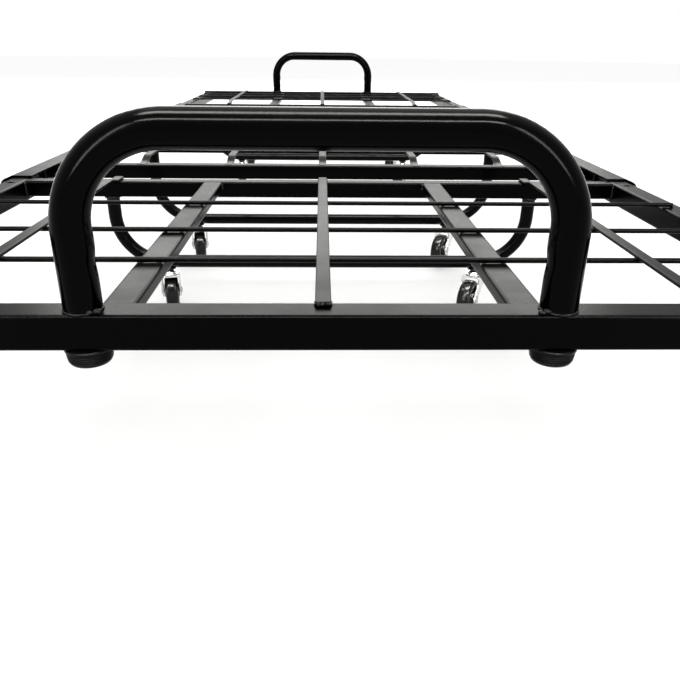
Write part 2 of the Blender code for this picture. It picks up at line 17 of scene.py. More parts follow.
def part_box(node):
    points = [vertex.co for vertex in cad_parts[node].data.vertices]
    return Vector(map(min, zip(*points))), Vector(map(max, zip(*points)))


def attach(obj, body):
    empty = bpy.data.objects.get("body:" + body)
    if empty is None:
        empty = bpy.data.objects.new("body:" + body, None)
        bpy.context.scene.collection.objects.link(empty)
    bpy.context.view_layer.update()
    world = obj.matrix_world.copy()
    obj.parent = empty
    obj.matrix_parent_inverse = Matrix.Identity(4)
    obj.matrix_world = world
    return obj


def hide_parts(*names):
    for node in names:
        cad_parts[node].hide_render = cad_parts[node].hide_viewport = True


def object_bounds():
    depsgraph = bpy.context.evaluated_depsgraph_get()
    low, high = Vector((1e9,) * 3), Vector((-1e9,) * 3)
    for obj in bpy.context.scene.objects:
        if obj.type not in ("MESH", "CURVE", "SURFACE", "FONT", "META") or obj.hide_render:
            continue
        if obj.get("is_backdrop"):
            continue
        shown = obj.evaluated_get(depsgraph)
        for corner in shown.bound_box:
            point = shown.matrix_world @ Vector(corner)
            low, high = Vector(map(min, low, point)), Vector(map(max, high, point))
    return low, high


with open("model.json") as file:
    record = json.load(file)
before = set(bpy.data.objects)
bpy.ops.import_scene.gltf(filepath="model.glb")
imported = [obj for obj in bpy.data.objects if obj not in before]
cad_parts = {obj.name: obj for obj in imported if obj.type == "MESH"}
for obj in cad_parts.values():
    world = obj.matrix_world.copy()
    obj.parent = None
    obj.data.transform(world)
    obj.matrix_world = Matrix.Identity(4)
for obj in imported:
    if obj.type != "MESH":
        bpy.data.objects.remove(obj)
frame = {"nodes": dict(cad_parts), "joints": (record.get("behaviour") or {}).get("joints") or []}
CAD_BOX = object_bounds()

ENDS = {"foot": -1, "head": 1}
HANDS = {"left": -1, "right": 1}
PLACES = {"foot": "foot_section", "centre_foot": "centre_section",
          "centre_head": "centre_section", "head": "head_section"}
JOINTS = {joint["name"]: joint for joint in frame["joints"]}

# Sizes that a node's box doesn't give
TUBE_WALL = 0.0015
TUBE_CORNER = 0.0024
TUBE_BORE_CORNER = 0.0012
CORNER_HOLD = 0.0004          # keeps the shading of a flat face flat up to its round corner
END_EASE = 0.0005             # how far the end of a tube is eased
HOOP_BEND = 0.060
CREASE_HEIGHT = 0.030
LEG_BEND = 0.060
WIRE_DIAMETER = 0.0045
STRIP_WIDTH = 0.0105
STRIP_THICKNESS = 0.003
STRIP_RAMP = 0.028
NIP_LENGTH = 0.0006           # length over which the tip of a strip narrows
WELD_SINK = 0.0004
STRIP_OFFSET = 0.252
INNER_STRIP_OFFSET = 0.131
END_WIRE_SETBACKS = (0.1195, 0.2095, 0.317)
WIRE_SPACES = 8               # even spaces between the cross rails of the centre section
BEARER_WIDTH = 0.018
BOLT_HOLE_DIAMETER = 0.0084
SIGHT_HOLE_DIAMETER = 0.008
SIGHT_HOLE_SETBACK = 0.010
COAT_CLEARANCE = 0.0001       # keeps a turning side rail's faces off its angle
FORK_PLATE = 0.002
FORK_WIDTH = 0.0248
CROWN_LENGTH = 0.024
CROWN_HEIGHT = 0.0535
CHEEK_TIP_RADIUS = 0.008
CHEEK_SHOULDER = 0.008
WHEEL_RADIUS = 0.0245
WHEEL_WIDTH = 0.017


# ---------------------------------------------------------------- shader maths

class Value:
    """A shader socket that takes part in plain arithmetic."""

    def __init__(self, finish, socket):
        self.finish = finish
        self.socket = socket

    def maths(self, operation, first, second=0.0):
        return self.finish.node("Math", {"operation": operation}, {0: first, 1: second})

    def __add__(self, other):
        return self.maths("ADD", self, other)

    def __sub__(self, other):
        return self.maths("SUBTRACT", self, other)

    def __rsub__(self, other):
        return self.maths("SUBTRACT", other, self)

    def __mul__(self, other):
        return self.maths("MULTIPLY", self, other)

    __radd__ = __add__
    __rmul__ = __mul__


class Finish:
    """A procedural finish, built up from nodes around one Principled shader."""

    def __init__(self, name, **constants):
        self.material = bpy.data.materials.new(name)
        self.material.use_nodes = True
        self.tree = self.material.node_tree
        self.surface = self.tree.nodes["Principled BSDF"]
        for socket, value in constants.items():
            self.set(socket.replace("_", " "), value)

    def set(self, socket, value):
        """Give one of the shader's sockets a number, a colour or a link."""
        self.feed(self.surface.inputs[socket], value)

    def feed(self, socket, value):
        if isinstance(value, Value):
            self.tree.links.new(value.socket, socket)
        else:
            socket.default_value = value

    def node(self, kind, settings=None, inputs=None, output=0):
        """Add one node and return one of its outputs."""
        made = self.tree.nodes.new("ShaderNode" + kind)
        for name, value in (settings or {}).items():
            if name == "stops":
                self.set_stops(made.color_ramp, value)
            else:
                setattr(made, name, value)
        for name, value in (inputs or {}).items():
            self.feed(made.inputs[name], value)
        return Value(self, made.outputs[output])

    def set_stops(self, ramp, stops):
        while len(ramp.elements) < len(stops):
            ramp.elements.new(0.5)
        for element, (position, shade) in zip(ramp.elements, stops):
            element.position = position
            element.color = (shade, shade, shade, 1.0)

    def noise(self, place, scale, detail=2.0, roughness=0.5):
        """Soft noise with features about 1 / scale metres across."""
        inputs = {"Vector": place, "Scale": scale, "Detail": detail, "Roughness": roughness}
        return self.node("TexNoise", None, inputs)

    def ramp(self, value, *stops):
        """Remap a value through grey stops."""
        return self.node("ValToRGB", {"stops": stops}, {0: value})

    def blend(self, share, first, second):
        """Mix two colours."""
        first, second = ((*c, 1.0) if isinstance(c, tuple) else c for c in (first, second))
        settings = {"data_type": "RGBA"}
        return self.node("Mix", settings, {0: share, 6: first, 7: second}, output=2)

    def bumps(self, height, strength, distance):
        """Shade the surface as if it had this relief."""
        inputs = {"Height": height, "Strength": strength, "Distance": distance}
        self.set("Normal", self.node("Bump", None, inputs))

    def place(self):
        return self.node("TexCoord", output="Object")

    def facing_up(self):
        """1 on level tops and 0 on sides and undersides."""
        normal = self.node("NewGeometry", output="Normal")
        height = self.node("SeparateXYZ", None, {0: normal}, output=2)
        return self.ramp(height, (0.55, 0.0), (0.95, 1.0))

    def worn_edges(self, place):
        """Patchy strokes of wear along outside edges."""
        edges = self.node("NewGeometry", output="Pointiness")
        edges = self.ramp(edges, (0.52, 0.0), (0.60, 1.0))
        return edges * self.ramp(self.noise(place, 60.0, 4.0), (0.48, 0.0), (0.66, 1.0))


def powder_coat(name, shade, roughness, peel, specular):
    """Baked black powder: orange peel, faint mottling, dusty flecks with painted light on the tops,
    thin edges.
    """
    coat = Finish(name, Specular_IOR_Level=specular, Coat_Roughness=0.12)
    place = coat.place()
    mottle = coat.noise(place, 38.0, 4.0, 0.6)
    handling = coat.ramp(coat.noise(place, 7.0, 3.0), (0.35, 0.0), (0.7, 1.0))
    grit = coat.ramp(coat.noise(place, 1400.0, 1.0), (0.62, 0.0), (0.72, 1.0))
    # Mask on upward faces: painted light from above, in dusty patches; the same mask also roughens
    # and dulls the tops.
    dust_and_top_light = coat.facing_up() * coat.ramp(coat.noise(place, 22.0, 5.0, 0.65), (0.4, 0.0), (0.75, 1.0))
    wear = coat.worn_edges(place)
    deep = tuple(0.55 * c for c in shade)
    colour = coat.blend(mottle, deep, shade)
    # Lightens the tops towards pale grey: painted light on upward faces, with grit specks in it.
    colour = coat.blend(dust_and_top_light * 0.05 + grit * dust_and_top_light * 0.15, colour, (0.16, 0.155, 0.145))
    colour = coat.blend(wear * 0.35, colour, (0.03, 0.03, 0.031))
    coat.set("Base Color", colour)
    spread = mottle * 0.08 + handling * 0.05 + dust_and_top_light * 0.08 + grit * 0.04
    coat.set("Roughness", spread + (roughness - 0.06))
    coat.set("Coat Weight", 0.01 - dust_and_top_light * 0.01)
    relief = coat.noise(place, 620.0, 2.0) + coat.noise(place, 170.0, 1.0) * 0.6
    coat.bumps(relief, peel, 0.00022)
    return coat.material


def weld_coat(name):
    """Powder coat over a weld bead: rougher, with spatter and burnt specks."""
    coat = Finish(name, Specular_IOR_Level=0.12, Coat_Roughness=0.2)
    place = coat.place()
    lumps = coat.noise(place, 420.0, 4.0, 0.6)
    specks = coat.ramp(coat.noise(place, 900.0, 2.0), (0.6, 0.0), (0.68, 1.0))
    colour = coat.blend(lumps, (0.0008, 0.0008, 0.0008), (0.004, 0.004, 0.0038))
    coat.set("Base Color", coat.blend(specks * 0.4, colour, (0.05, 0.045, 0.040)))
    coat.set("Roughness", lumps * 0.25 + 0.22)
    coat.set("Coat Weight", lumps * 0.1)
    coat.bumps(lumps + specks * 0.3, 0.7, 0.0006)
    return coat.material


def zinc_plate(name, shade, roughness):
    """Bright zinc plate: fine drawing lines, cloudy passivation and light grime."""
    plate = Finish(name, Specular_IOR_Level=0.5)
    place = plate.place()
    clouds = plate.noise(place, 90.0, 4.0, 0.6)
    stretch = plate.node("Mapping", None, {"Vector": place, "Scale": (900.0, 900.0, 60.0)})
    lines = plate.noise(stretch, 1.0, 3.0)
    grime = plate.ramp(plate.noise(place, 240.0, 4.0, 0.7), (0.55, 0.0), (0.8, 1.0))
    warm = tuple(c * w for c, w in zip(shade, (1.0, 0.97, 0.90)))
    colour = plate.blend(clouds, warm, shade)
    plate.set("Base Color", plate.blend(grime * 0.55, colour, (0.13, 0.12, 0.11)))
    plate.set("Metallic", 1.0 - grime * 0.35)
    plate.set("Roughness", clouds * 0.12 + grime * 0.25 + lines * 0.06 + (roughness - 0.08))
    plate.bumps(lines * 0.5 + clouds, 0.12, 0.0002)
    return plate.material


def moulded_plastic(name, shade, roughness, grain, specular):
    """Black moulded plastic: satin grain, flow marks and scuffs that catch the light."""
    plastic = Finish(name, Specular_IOR_Level=specular)
    place = plastic.place()
    flow = plastic.noise(place, 55.0, 3.0)
    stretch = plastic.node("Mapping", None, {"Vector": place, "Scale": (260.0, 700.0, 260.0)})
    scuffs = plastic.ramp(plastic.noise(stretch, 1.0, 4.0, 0.7), (0.6, 0.0), (0.74, 1.0))
    colour = plastic.blend(flow, tuple(0.6 * c for c in shade), shade)
    plastic.set("Base Color", plastic.blend(scuffs * 0.4, colour, (0.016, 0.016, 0.016)))
    plastic.set("Roughness", flow * 0.10 + scuffs * 0.22 + (roughness - 0.05))
    plastic.bumps(plastic.noise(place, 1500.0, 1.0) + scuffs * 0.4, grain, 0.0001)
    return plastic.material


RAIL_COAT = powder_coat("rail_powder_coat", (0.0004, 0.0004, 0.0004), 0.26, 0.16, 0.025)
HOOP_COAT = powder_coat("hoop_powder_coat", (0.0002, 0.0002, 0.0003), 0.14, 0.10, 0.030)
DECK_COAT = powder_coat("deck_powder_coat", (0.0008, 0.0008, 0.0008), 0.30, 0.14, 0.035)
LEG_COAT = powder_coat("leg_powder_coat", (0.0004, 0.0004, 0.0005), 0.20, 0.12, 0.045)
WELD_COAT = weld_coat("coated_weld")
ZINC = zinc_plate("bright_zinc", (0.70, 0.71, 0.72), 0.22)
DULL_ZINC = zinc_plate("dull_zinc", (0.42, 0.42, 0.43), 0.34)
CAP_PLASTIC = moulded_plastic("ribbed_cap_plastic", (0.0030, 0.0030, 0.0030), 0.34, 0.25, 0.10)
PLUG_PLASTIC = moulded_plastic("plug_plastic", (0.0040, 0.0040, 0.0040), 0.38, 0.3, 0.12)
WHEEL_PLASTIC = moulded_plastic("wheel_plastic", (0.0025, 0.0025, 0.0030), 0.20, 0.10, 0.25)


# ---------------------------------------------------------------- shaping

class Form:
    """The points and faces of one piece while it is being shaped."""

    def __init__(self):
        self.points = []
        self.faces = []

    def skin(self, rings, closed=False):
        """Cover rings of points, first to last, or round and back if closed."""
        base, count = len(self.points), len(rings[0])
        for ring in rings:
            self.points += [Vector(point) for point in ring]
        spans = len(rings) if closed else len(rings) - 1
        for span in range(spans):
            here, there = base + span * count, base + (span + 1) % len(rings) * count
            for step in range(count):
                ahead = (step + 1) % count
                self.faces.append((here + step, here + ahead, there + ahead, there + step))
        if not closed:
            last = base + (len(rings) - 1) * count
            self.faces.append(tuple(reversed(range(base, base + count))))
            self.faces.append(tuple(range(last, last + count)))
        return self

    def sheet(self, rows):
        """An open sheet of points, row by row."""
        base, count = len(self.points), len(rows[0])
        for row in rows:
            self.points += [Vector(point) for point in row]
        for line in range(len(rows) - 1):
            for step in range(count - 1):
                corner = base + line * count + step
                self.faces.append((corner, corner + 1, corner + count + 1, corner + count))
        return self

    def moved(self, matrix):
        self.points = [matrix @ point for point in self.points]
        return self

    def made(self, name, coat):
        """The piece itself, smooth but for its sharp edges."""
        mesh = bpy.data.meshes.new(name)
        mesh.from_pydata(self.points, [], self.faces)
        shape = bmesh.new()
        shape.from_mesh(mesh)
        bmesh.ops.recalc_face_normals(shape, faces=shape.faces)
        shape.to_mesh(mesh)
        shape.free()
        piece = bpy.data.objects.new(name, mesh)
        bpy.context.scene.collection.objects.link(piece)
        mesh.materials.append(coat)
        soften(piece)
        return piece


def soften(piece, angle=38.0):
    """Shade a piece smoothly across all but its sharp edges."""
    mesh = piece.data
    mesh.polygons.foreach_set("use_smooth", [True] * len(mesh.polygons))
    mesh.set_sharp_from_angle(angle=math.radians(angle))
    weight = piece.modifiers.new("even_shading", "WEIGHTED_NORMAL")
    weight.keep_sharp = True
    weight.weight = 60


def settle(piece, body, slot, *stands_for):
    """Let a piece ride on its body and stand for the plain nodes it replaces."""
    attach(piece, body)
    if stands_for:
        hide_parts(*stands_for)
    return piece


def corner_points(width, height, radius, steps=5):
    """A rounded rectangle, with a point just before and after each corner."""
    hold = min(CORNER_HOLD, radius / 3)
    points = []
    for sign_x, sign_y, start in ((1, -1, -90), (1, 1, 0), (-1, 1, 90), (-1, -1, 180)):
        middle = Vector((sign_x * (width / 2 - radius), sign_y * (height / 2 - radius)))
        turn = [middle + radius * Vector(compass(start + 90 * step / steps))
                for step in range(steps + 1)]
        before = turn[0] - hold * Vector(compass(start + 90))
        after = turn[-1] + hold * Vector(compass(start + 180))
        points += [before, *turn, after]
    return points


def compass(degrees):
    """Cosine and sine of an angle in degrees."""
    return math.cos(math.radians(degrees)), math.sin(math.radians(degrees))


def placed(outline, middle, across, up):
    """An outline of (across, up) offsets about a middle point."""
    return [middle + across * u + up * v for u, v in outline]


def square_tube(form, start, end, width, height, up=Vector((0, 0, 1))):
    """A hollow tube between two points, with eased ends and rounded corners."""
    start, end = Vector(start), Vector(end)
    way = (end - start).normalized()
    across = way.cross(up)
    ease = END_EASE
    outer = corner_points(width, height, TUBE_CORNER)
    eased = corner_points(width - ease, height - ease, TUBE_CORNER)
    inner = corner_points(width - 2 * TUBE_WALL, height - 2 * TUBE_WALL, TUBE_BORE_CORNER)
    rings = [placed(outer, start + way * ease, across, up),
             placed(outer, start + way * 3 * ease, across, up),
             placed(outer, end - way * 3 * ease, across, up),
             placed(outer, end - way * ease, across, up),
             placed(eased, end, across, up), placed(inner, end, across, up),
             placed(inner, start, across, up), placed(eased, start, across, up)]
    return form.skin(rings, closed=True)


def frames_along(path, closed=False):
    """A point, a sideways and an upward direction at every step of a path."""
    path = [Vector(point) for point in path]
    count, frames, side = len(path), [], None
    for step, point in enumerate(path):
        before = path[step - 1] if closed or step else point
        after = path[(step + 1) % count] if closed or step < count - 1 else point
        way = (after - before).normalized()
        if side is None:
            helper = Vector((0, 1, 0)) if abs(way.y) < 0.9 else Vector((1, 0, 0))
            side = way.cross(helper).normalized()
        side = (side - way * side.dot(way)).normalized()
        frames.append((point, side, way.cross(side)))
    return frames


def round_bar(form, path, diameter, sides=32, dent=None, closed=False):
    """A round bar or tube along a path, with optional dents in its skin."""
    rings = []
    for point, side, up in frames_along(path, closed):
        ring = []
        for turn in range(sides):
            u, v = compass(360 * turn / sides)
            outward = side * u + up * v
            depth = dent(point, outward) if dent else 0.0
            ring.append(point + outward * (diameter / 2 - depth))
        rings.append(ring)
    return form.skin(rings, closed=closed)


def turned(form, profile, middle=(0, 0, 0), sides=48, axis="Z", closed=False):
    """A profile of (radius, height) turned about an axis through a point."""
    tilt = {"Z": Matrix.Identity(3), "X": Matrix.Rotation(math.pi / 2, 3, "Y"),
            "-X": Matrix.Rotation(-math.pi / 2, 3, "Y")}[axis]
    middle = Vector(middle)
    rings = []
    for radius, height in profile:
        ring = [tilt @ Vector((radius * c, radius * s, height)) + middle
                for c, s in (compass(360 * turn / sides) for turn in range(sides))]
        rings.append(ring)
    return form.skin(rings, closed=closed)


def rounded(profile, radius, steps=4):
    """Round the inner corners of a profile of 2-D points."""
    points = [Vector(profile[0])]
    for before, corner, after in zip(profile, profile[1:], profile[2:]):
        before, corner, after = Vector(before), Vector(corner), Vector(after)
        reach = min(radius, 0.45 * (before - corner).length, 0.45 * (after - corner).length)
        start = corner + (before - corner).normalized() * reach
        end = corner + (after - corner).normalized() * reach
        for step in range(steps + 1):
            t = step / steps
            points.append(start * (1 - t) ** 2 + corner * 2 * t * (1 - t) + end * t * t)
    return points + [Vector(profile[-1])]


def u_path(spacing, bend, base, crossbar, y, steps=18, rise_steps=24):
    """Up or down one leg, round a bend, across, round and back, in an upright plane."""
    way = 1 if crossbar > base else -1
    half, level = spacing / 2, crossbar - way * bend
    points = [(-half, base + (level - base) * step / rise_steps) for step in range(rise_steps)]
    for step in range(steps + 1):
        c, s = compass(180 - 90 * step / steps)
        points.append((-half + bend + bend * c, level + way * bend * s))
    for step in range(1, 10):
        points.append((-half + bend + (spacing - 2 * bend) * step / 10, crossbar))
    for step in range(steps + 1):
        c, s = compass(90 - 90 * step / steps)
        points.append((half - bend + bend * c, level + way * bend * s))
    points += [(half, z) for _, z in reversed(points[:rise_steps])]
    return [(x, y, z) for x, z in points]


# ---------------------------------------------------------------- welds

def bead(form, path, width, seed, closed=False):
    """A weld bead along a path, with its row of ripples."""
    chance = random.Random(seed)
    path = even_steps(path, width / 3.2, closed)
    sizes = []
    for step in range(len(path)):
        ripple = (step % 4) / 3 - 0.5
        sizes.append(width / 2 * (1 + 0.16 * ripple + chance.uniform(-0.08, 0.08)))
    if not closed:
        sizes[0] *= 0.55
        sizes[-1] *= 0.55
    rings = []
    for size, (point, side, up) in zip(sizes, frames_along(path, closed)):
        drift = Vector([chance.uniform(-0.05, 0.05) * width for _ in range(3)])
        ring = [point + drift + (side * u + up * v) * size
                for u, v in (compass(45 * turn) for turn in range(8))]
        rings.append(ring)
    return form.skin(rings, closed=closed)


def even_steps(path, step, closed=False):
    """Resample a path of points at an even step."""
    path = [Vector(point) for point in path]
    if closed:
        path.append(path[0])
    points = []
    for start, end in zip(path, path[1:]):
        pieces = max(1, round((end - start).length / step))
        points += [start.lerp(end, piece / pieces) for piece in range(pieces)]
    return points if closed else points + [path[-1]]


def dab(form, middle, size, seed):
    """A lumpy drop of weld with half-sizes along X, Y and Z."""
    chance = random.Random(seed)
    middle, rings = Vector(middle), []
    for latitude in (-80, -48, -16, 16, 48, 80):
        spread, height = compass(latitude)
        ring = []
        for turn in range(10):
            c, s = compass(36 * turn)
            swell = 1 + chance.uniform(-0.12, 0.12)
            offset = Vector((c * spread * size[0], s * spread * size[1], height * size[2]))
            ring.append(middle + offset * swell)
        rings.append(ring)
    return form.skin(rings)


def circle(middle, radius, steps=40):
    """Points round a level circle."""
    middle = Vector(middle)
    return [middle + radius * Vector((*compass(360 * step / steps), 0)) for step in range(steps)]


# ---------------------------------------------------------------- places read from the nodes

def box_of(node):
    """Low corner, high corner and middle of a node's box."""
    low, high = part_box(node)
    return low, high, (low + high) / 2


DECK_TOP = box_of("side_rail_head_left")[1].z
END_RAIL_TOP = box_of("end_rail_head")[1].z
FLANGE_TOP = box_of("side_angle_left")[1].z
GAP = box_of("deck_grid_centre")[0].z - FLANGE_TOP
HALF_LENGTH = box_of("end_rail_head")[1].y
MID_RAIL_Y = box_of("mid_rail_head")[2].y
CROSS_RAIL_Y = box_of("cross_rail_head")[2].y
MID_RAIL_SIZE = box_of("mid_rail_head")[1].y - box_of("mid_rail_head")[0].y
BEARER_Y = box_of("leg_centre_head")[2].y


# ---------------------------------------------------------------- rails and angles

def tube_piece(node, body):
    """A straight rail made again from its node's box, with fine corners."""
    low, high, middle = box_of(node)
    size = high - low
    form = Form()
    if size.x > size.y:
        square_tube(form, (low.x, middle.y, middle.z), (high.x, middle.y, middle.z), size.y, size.z)
    else:
        square_tube(form, (middle.x, low.y, middle.z), (middle.x, high.y, middle.z), size.x, size.z)
    return settle(form.made(f"finished_{node}", RAIL_COAT), body, "rail_coat", node)


def drill(piece, middle, diameter, depth, axis):
    """Cut a round hole through a wall of a piece."""
    tool = Form()
    turned(tool, [(diameter / 2, -depth), (diameter / 2, depth)], middle, 32, axis)
    cutter = tool.made("drill", RAIL_COAT)
    hole = piece.modifiers.new("hole", "BOOLEAN")
    hole.object = cutter
    hole.solver = "EXACT"
    bpy.context.view_layer.update()
    evaluated = piece.evaluated_get(bpy.context.evaluated_depsgraph_get())
    mesh = bpy.data.meshes.new_from_object(evaluated)
    piece.modifiers.clear()
    piece.data = mesh
    bpy.data.objects.remove(cutter, do_unlink=True)
    soften(piece)


def side_rail(end, hand):
    """A side rail with its hinge-bolt hole and its sight hole."""
    side, sign = ENDS[end], HANDS[hand]
    node = f"side_rail_{end}_{hand}"
    low, high, middle = box_of(node)
    form = Form()
    size = high - low
    heart = middle.x - sign * COAT_CLEARANCE
    width = size.x - 2 * COAT_CLEARANCE
    square_tube(form, (heart, low.y, middle.z), (heart, high.y, middle.z), width, size.z)
    rail = form.made(f"finished_{node}", RAIL_COAT)
    outer_x = high.x if sign > 0 else low.x
    pivot = JOINTS[f"fold_{end}"]["pos_m"]
    drill(rail, (outer_x, pivot[1], pivot[2]), BOLT_HOLE_DIAMETER, 3 * TUBE_WALL, "X")
    beside = side * (MID_RAIL_Y + MID_RAIL_SIZE / 2 + SIGHT_HOLE_SETBACK)
    drill(rail, (middle.x, beside, high.z), SIGHT_HOLE_DIAMETER, 3 * TUBE_WALL, "Z")
    return settle(rail, f"{end}_section", "rail_coat", node)


def side_angle(hand):
    """The rolled angle along one side, with eased edges."""
    node = f"side_angle_{hand}"
    piece = bpy.data.objects.new(f"finished_{node}", frame["nodes"][node].data.copy())
    bpy.context.scene.collection.objects.link(piece)
    piece.data.materials.clear()
    piece.data.materials.append(RAIL_COAT)
    weld = piece.modifiers.new("weld", "WELD")
    weld.merge_threshold = 0.00001
    ease = piece.modifiers.new("eased_edges", "BEVEL")
    ease.width = 0.0006
    ease.segments = 3
    ease.limit_method = "ANGLE"
    ease.angle_limit = math.radians(35)
    soften(piece)
    return settle(piece, "centre_section", "rail_coat", node)


def end_plugs(end):
    """Push-in plastic plugs that close both ends of an end rail."""
    low, high, middle = box_of(f"end_rail_{end}")
    size, form = high.z - low.z, Form()
    for tip, way in ((low.x, -1), (high.x, 1)):
        stages = ((0.0024, -0.008), (0.0024, 0.0), (0.0, 0.0), (0.0, 0.0011), (0.0016, 0.0019))
        rings = []
        for shrink, reach in stages:
            outline = corner_points(size - 2 * shrink, size - 2 * shrink, TUBE_CORNER)
            rings.append([(tip + way * reach, middle.y + u, middle.z + v) for u, v in outline])
        form.skin(rings)
    return settle(form.made(f"end_plugs_{end}", PLUG_PLASTIC), f"{end}_section", "cap_plastic")


# ---------------------------------------------------------------- hoops and caps

def hoop(end):
    """The bent round tube that holds the mattress, creased inside its two bends."""
    node = f"hoop_{end}"
    low, high, middle = box_of(node)
    tube = high.y - low.y
    spacing = high.x - low.x - tube
    path = u_path(spacing, HOOP_BEND, low.z, high.z - tube / 2, middle.y)
    inner = spacing / 2 - HOOP_BEND
    level = high.z - tube / 2 - HOOP_BEND

    def crease(point, outward):
        """Flatten each bend a little, and pleat the inner side where the bender gripped it."""
        inside = max(0.0, -outward.x * math.copysign(1.0, point.x))
        rise = point.z - low.z - CREASE_HEIGHT
        pleat = math.exp(-(rise / 0.0065) ** 2) - 0.5 * math.exp(-((rise - 0.012) / 0.008) ** 2)
        depth = 0.0008 * inside ** 1.5 * pleat
        reach = point - Vector((math.copysign(inner, point.x), middle.y, level))
        if abs(point.x) > inner and reach.z > 0:
            turn = math.atan2(reach.z, abs(reach.x))
            depth += 0.0007 * abs(outward.dot(reach.normalized())) * math.sin(2 * turn)
        return depth

    form = Form()
    round_bar(form, path, tube, 48, crease)
    return settle(form.made(f"finished_{node}", HOOP_COAT), f"{end}_section", "hoop_coat", node)


def end_cap(end, hand):
    """A ribbed plastic bumper under an end rail."""
    node = f"end_cap_{end}_{hand}"
    low, high, middle = box_of(node)
    top, height = (high.x - low.x) / 2, high.z - low.z
    profile = [(0.0005, 0.0), (top - 0.0006, 0.0), (top, -0.0006), (top, -0.0019)]
    ribs = 5
    pitch = (height - 0.0042) / ribs
    for rib in range(ribs):
        z = -0.0021 - rib * pitch
        radius = top - 0.0007 - 0.0010 * (rib / ribs) ** 2
        profile += [(radius - 0.0005, z), (radius, z - 0.3 * pitch), (radius, z - 0.6 * pitch)]
    base = top - 0.0019
    for step in range(6):
        c, s = compass(-90 * step / 5)
        profile.append((base - 0.0022 + 0.0022 * c, 0.0022 - height + 0.0022 * s))
    profile += [(base - 0.006, -height), (0.0005, 0.0004 - height)]
    form = Form()
    turned(form, profile, (middle.x, middle.y, high.z), 56)
    piece = form.made(f"finished_{node}", CAP_PLASTIC)
    return settle(piece, f"{end}_section", "cap_plastic", node)


# ---------------------------------------------------------------- deck

def strip_path(start, end, level, start_level, end_level, lap):
    """Side view of a strip's middle line, bent down smoothly to lower rails."""
    points = [(start, start_level)]
    if start_level != level:
        foot = start + lap
        points += ramp_points(foot, foot + STRIP_RAMP, start_level, level)
    if end_level != level:
        foot = end - lap
        points += ramp_points(foot - STRIP_RAMP, foot, level, end_level)
    return points + [(end, end_level)]


def ramp_points(start, end, low, high):
    """Points of a smooth rise from one level to another."""
    points = []
    for step in range(9):
        t = step / 8
        ease = t * t * (3 - 2 * t)
        points.append((start + (end - start) * t, low + (high - low) * ease))
    return points


def flat_strip(form, x, path):
    """A flat strip with rounded edges and nipped ends."""
    lift = STRIP_THICKNESS / 2
    rings = []
    tips = (0, len(path) - 1)
    ahead = [*path[1:], path[-1]]
    behind = [path[0], *path[:-1]]
    for step, (y, z) in enumerate(path):
        way = Vector((ahead[step][0] - behind[step][0], ahead[step][1] - behind[step][1]))
        way.normalize()
        width = STRIP_WIDTH - (0.0012 if step in tips else 0.0)
        thick = STRIP_THICKNESS - (0.0008 if step in tips else 0.0)
        outline = corner_points(width, thick, 0.0011, 4)
        rings.append([(x + u, y - way.y * v, z + lift + way.x * v) for u, v in outline])
    return form.skin(nipped(rings))


def nipped(rings):
    """Add a full-width ring just inside each smaller end ring."""
    return [rings[0], just_inside(rings[1], rings[0]), *rings[1:-1],
            just_inside(rings[-2], rings[-1]), rings[-1]]


def just_inside(full, tip):
    """The outline of a full-width ring, set a little in from a strip's tip."""
    way = NIP_LENGTH if full[0][1] > tip[0][1] else -NIP_LENGTH
    drop = sum(point[2] for point in tip) / len(tip) - sum(point[2] for point in full) / len(full)
    return [(x, y + way, z + drop) for (x, _, z), (_, y, _) in zip(full, tip)]


def wire(form, y, level, half_length):
    """One round wire across the bed, sheared square at its ends."""
    middle = level + WIRE_DIAMETER / 2
    path = [(-half_length, y, middle), (-half_length + 0.0004, y, middle)]
    path += [(half_length * step / 4, y, middle) for step in range(-3, 4)]
    path += [(half_length - 0.0004, y, middle), (half_length, y, middle)]
    return round_bar(form, path, WIRE_DIAMETER, 16)


def end_deck(end):
    """The wires and strips of one end section."""
    side, node = ENDS[end], f"deck_grid_{end}"
    low, high, _ = box_of(node)
    level = low.z
    raised = level + WIRE_DIAMETER - WELD_SINK
    reach = max(abs(low.y), abs(high.y))
    near = min(abs(low.y), abs(high.y))
    form, welds = Form(), Form()
    for setback in END_WIRE_SETBACKS:
        wire(form, side * (HALF_LENGTH - setback), level, high.x)
    for x in (-STRIP_OFFSET, 0.0, STRIP_OFFSET):
        path = strip_path(near, reach, raised, level, raised, MID_RAIL_SIZE)
        flat_strip(form, x, [(side * y, z) for y, z in path])
        for setback in END_WIRE_SETBACKS:
            y = side * (HALF_LENGTH - setback)
            crossing_welds(welds, x, y, level + WIRE_DIAMETER / 2)
        strip_end_weld(welds, x, side * reach, -side, raised)
        strip_end_weld(welds, x, side * near, side, level)
    wire_seat_welds(welds, end, level)
    settle(form.made(f"finished_{node}", DECK_COAT), f"{end}_section", "deck_coat", node)
    settle(welds.made(f"deck_welds_{end}", WELD_COAT), f"{end}_section", "deck_coat")


def crossing_welds(form, x, y, z):
    """Squeezed-out weld on both sides of a strip where it crosses a wire."""
    for way in (-1, 1):
        place = (x + way * (STRIP_WIDTH / 2 - 0.0002), y, z + 0.0012)
        dab(form, place, (0.0012, 0.0021, 0.0016), f"{x}{y}{way}")


def strip_end_weld(form, x, y, way, level):
    """Weld over the end of a strip where it lies on a rail."""
    for offset in (-0.0032, 0.0, 0.0034):
        place = (x + offset, y + way * 0.0002, level + 0.0012)
        dab(form, place, (0.0021, 0.0017, 0.0014), f"{x}{y}{offset}")
    for sign in (-1, 1):
        edge = x + sign * STRIP_WIDTH / 2
        path = [(edge, y + way * 0.0015, level + 0.0004), (edge, y + way * 0.0075, level + 0.0004)]
        bead(form, path, 0.0015, f"{x}{y}{sign}")


